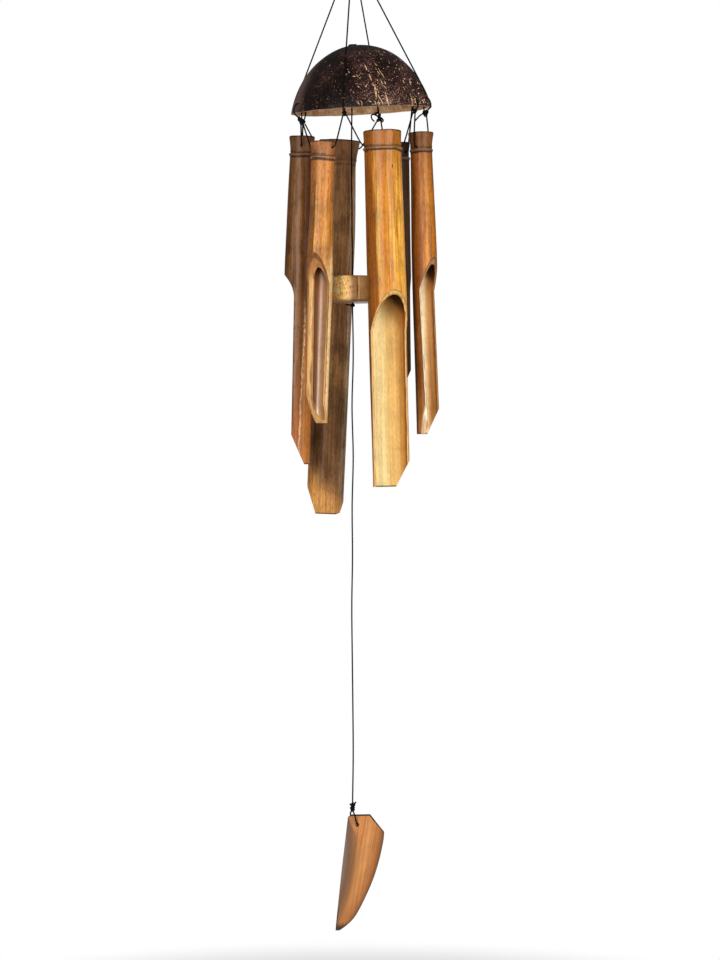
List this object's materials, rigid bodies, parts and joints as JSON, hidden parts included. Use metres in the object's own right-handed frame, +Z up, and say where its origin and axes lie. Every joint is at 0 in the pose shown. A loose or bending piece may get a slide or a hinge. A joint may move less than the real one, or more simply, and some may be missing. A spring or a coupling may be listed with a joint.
{
  "type": "bamboo wind chime",
  "caption": "Hanging wind chime: half a coconut shell on black cords carries cut bamboo tubes round its rim, with a wooden clapper disc and a curved bamboo wind sail on a centre line.",
  "frame": {"origin": "the bearing point of the hanging loop, where a hook holds it", "axes": "+Z up along the plumb line of the hanging chime, +X to the right and -Y to the front as the picture sees it"},
  "size_m": [0.1311, 0.1233, 0.8677],
  "materials": {
    "waxed_cord": "black waxed twisted cord, matt",
    "coconut_shell": "dark polished coconut shell with pale fibre streaks outside, tan and rough inside",
    "clapper_wood": "plain sawn wood, tan, matt",
    "sail_bamboo": "split bamboo, orange tan, satin",
    "bamboo_brown": "scorched brown bamboo, satin",
    "bamboo_orange": "golden orange bamboo, satin",
    "bamboo_umber": "dark umber bamboo, satin",
    "bamboo_yellow": "pale golden bamboo, satin",
    "bamboo_dark": "nearly black bamboo, satin",
    "bamboo_red": "red brown bamboo, satin"
  },
  "bodies": {
    "hanger": {"hang_loop": "waxed_cord"},
    "gather": {"gather_knot": "waxed_cord"},
    "canopy": {"coconut_shell": "coconut_shell", "suspension_cord_1": "waxed_cord", "suspension_cord_2": "waxed_cord", "suspension_cord_3": "waxed_cord", "suspension_cord_4": "waxed_cord", "rim_hitch_1": "waxed_cord", "rim_hitch_2": "waxed_cord", "rim_hitch_3": "waxed_cord", "rim_hitch_4": "waxed_cord", "rim_hitch_5": "waxed_cord", "rim_hitch_6": "waxed_cord", "rim_hitch_7": "waxed_cord", "rim_hitch_8": "waxed_cord", "rim_knot_1": "waxed_cord", "rim_knot_2": "waxed_cord", "rim_knot_3": "waxed_cord", "rim_knot_4": "waxed_cord", "rim_knot_5": "waxed_cord", "rim_knot_6": "waxed_cord", "rim_knot_7": "waxed_cord", "rim_knot_8": "waxed_cord"},
    "tube_1_hanging": {"tube_cord_1": "waxed_cord"},
    "tube_1": {"bamboo_tube_1": "bamboo_brown"},
    "tube_2_hanging": {"tube_cord_2": "waxed_cord"},
    "tube_2": {"bamboo_tube_2": "bamboo_orange"},
    "tube_3_hanging": {"tube_cord_3": "waxed_cord"},
    "tube_3": {"bamboo_tube_3": "bamboo_umber"},
    "tube_4_hanging": {"tube_cord_4": "waxed_cord"},
    "tube_4": {"bamboo_tube_4": "bamboo_yellow"},
    "tube_5_hanging": {"tube_cord_5": "waxed_cord"},
    "tube_5": {"bamboo_tube_5": "bamboo_dark"},
    "tube_6_hanging": {"tube_cord_6": "waxed_cord", "tube_6_stay": "waxed_cord"},
    "tube_6": {"bamboo_tube_6": "bamboo_red"},
    "crown": {"crown_knot": "waxed_cord"},
    "clapper": {"clapper_line": "waxed_cord", "clapper_disc": "clapper_wood"},
    "clapper_tie": {"clapper_knot": "waxed_cord"},
    "sail_hanging": {"sail_line": "waxed_cord"},
    "sail_swivel": {"sail_knot": "waxed_cord", "sail_loop": "waxed_cord"},
    "sail": {"wind_sail": "sail_bamboo"}
  },
  "joints": [
    {"name": "hang_swing", "type": "hinge", "parent": "hanger", "child": "gather", "pos_m": [0, 0, -0.03015], "axis": [0, 1, 0], "range_deg": [-12, 12]},
    {"name": "canopy_turn", "type": "hinge", "parent": "gather", "child": "canopy", "pos_m": [0, 0, -0.0353], "axis": [0, 0, 1], "range_deg": [-180, 180]},
    {"name": "tube_1_swing", "type": "hinge", "parent": "canopy", "child": "tube_1_hanging", "pos_m": [-0.0436, -0.02259, -0.18013], "axis": [0.0182, 0.9978, 0.0639], "range_deg": [-1.5, 18]},
    {"name": "tube_1_rock", "type": "hinge", "parent": "tube_1_hanging", "child": "tube_1", "pos_m": [-0.04309, 0.00544, -0.1998], "axis": [-0.0182, -0.9998, 0], "range_deg": [-12, 2]},
    {"name": "tube_2_swing", "type": "hinge", "parent": "canopy", "child": "tube_2_hanging", "pos_m": [-0.00673, -0.05529, -0.17788], "axis": [-0.7473, 0.6629, -0.0457], "range_deg": [-1.5, 18]},
    {"name": "tube_2_rock", "type": "hinge", "parent": "tube_2_hanging", "child": "tube_2", "pos_m": [-0.02457, -0.03947, -0.2054], "axis": [0.7481, -0.6636, 0], "range_deg": [-12, 2]},
    {"name": "tube_3_swing", "type": "hinge", "parent": "canopy", "child": "tube_3_hanging", "pos_m": [-0.04267, 0.02846, -0.17686], "axis": [0.9223, 0.3785, 0.0782], "range_deg": [-1.5, 18]},
    {"name": "tube_3_rock", "type": "hinge", "parent": "tube_3_hanging", "child": "tube_3", "pos_m": [-0.01154, 0.04123, -0.198], "axis": [-0.9251, -0.3796, 0], "range_deg": [-12, 2]},
    {"name": "tube_4_swing", "type": "hinge", "parent": "canopy", "child": "tube_4_hanging", "pos_m": [0.05218, -0.03573, -0.1739], "axis": [-0.9471, -0.3145, -0.064], "range_deg": [-1.5, 18]},
    {"name": "tube_4_rock", "type": "hinge", "parent": "tube_4_hanging", "child": "tube_4", "pos_m": [0.02529, -0.04466, -0.2045], "axis": [0.949, 0.3152, 0], "range_deg": [-12, 2]},
    {"name": "tube_5_swing", "type": "hinge", "parent": "canopy", "child": "tube_5_hanging", "pos_m": [0.02329, 0.05552, -0.17127], "axis": [0.6737, -0.7064, 0.2173], "range_deg": [-1.5, 18]},
    {"name": "tube_5_rock", "type": "hinge", "parent": "tube_5_hanging", "child": "tube_5", "pos_m": [0.0384, 0.03967, -0.202], "axis": [-0.6902, 0.7236, 0], "range_deg": [-12, 2]},
    {"name": "tube_6_swing", "type": "hinge", "parent": "canopy", "child": "tube_6_hanging", "pos_m": [0.06179, -0.01843, -0.17321], "axis": [-0.4855, -0.8735, -0.0348], "range_deg": [-1.5, 18]},
    {"name": "tube_6_rock", "type": "hinge", "parent": "tube_6_hanging", "child": "tube_6", "pos_m": [0.05801, -0.02525, -0.2036], "axis": [0.4858, 0.8741, 0], "range_deg": [-12, 2]},
    {"name": "clapper_swing_front_back", "type": "hinge", "parent": "canopy", "child": "crown", "pos_m": [0, 0, -0.11367], "axis": [1, 0, 0], "range_deg": [-3.5, 1.8]},
    {"name": "clapper_swing_side", "type": "hinge", "parent": "crown", "child": "clapper", "pos_m": [0, 0, -0.11367], "axis": [0, 1, 0], "range_deg": [-3.5, 2.5]},
    {"name": "sail_swing_front_back", "type": "hinge", "parent": "clapper", "child": "clapper_tie", "pos_m": [0, 0, -0.3355], "axis": [1, 0, 0], "range_deg": [-8, 8]},
    {"name": "sail_swing_side", "type": "hinge", "parent": "clapper_tie", "child": "sail_hanging", "pos_m": [0, 0, -0.3355], "axis": [0, 1, 0], "range_deg": [-8, 8]},
    {"name": "sail_turn", "type": "hinge", "parent": "sail_hanging", "child": "sail_swivel", "pos_m": [0, 0, -0.7618], "axis": [0, 0, 1], "range_deg": [-180, 180]},
    {"name": "sail_rock", "type": "hinge", "parent": "sail_swivel", "child": "sail", "pos_m": [0.004, 0, -0.7766], "axis": [0, 1, 0], "range_deg": [-20, 20]}
  ]
}
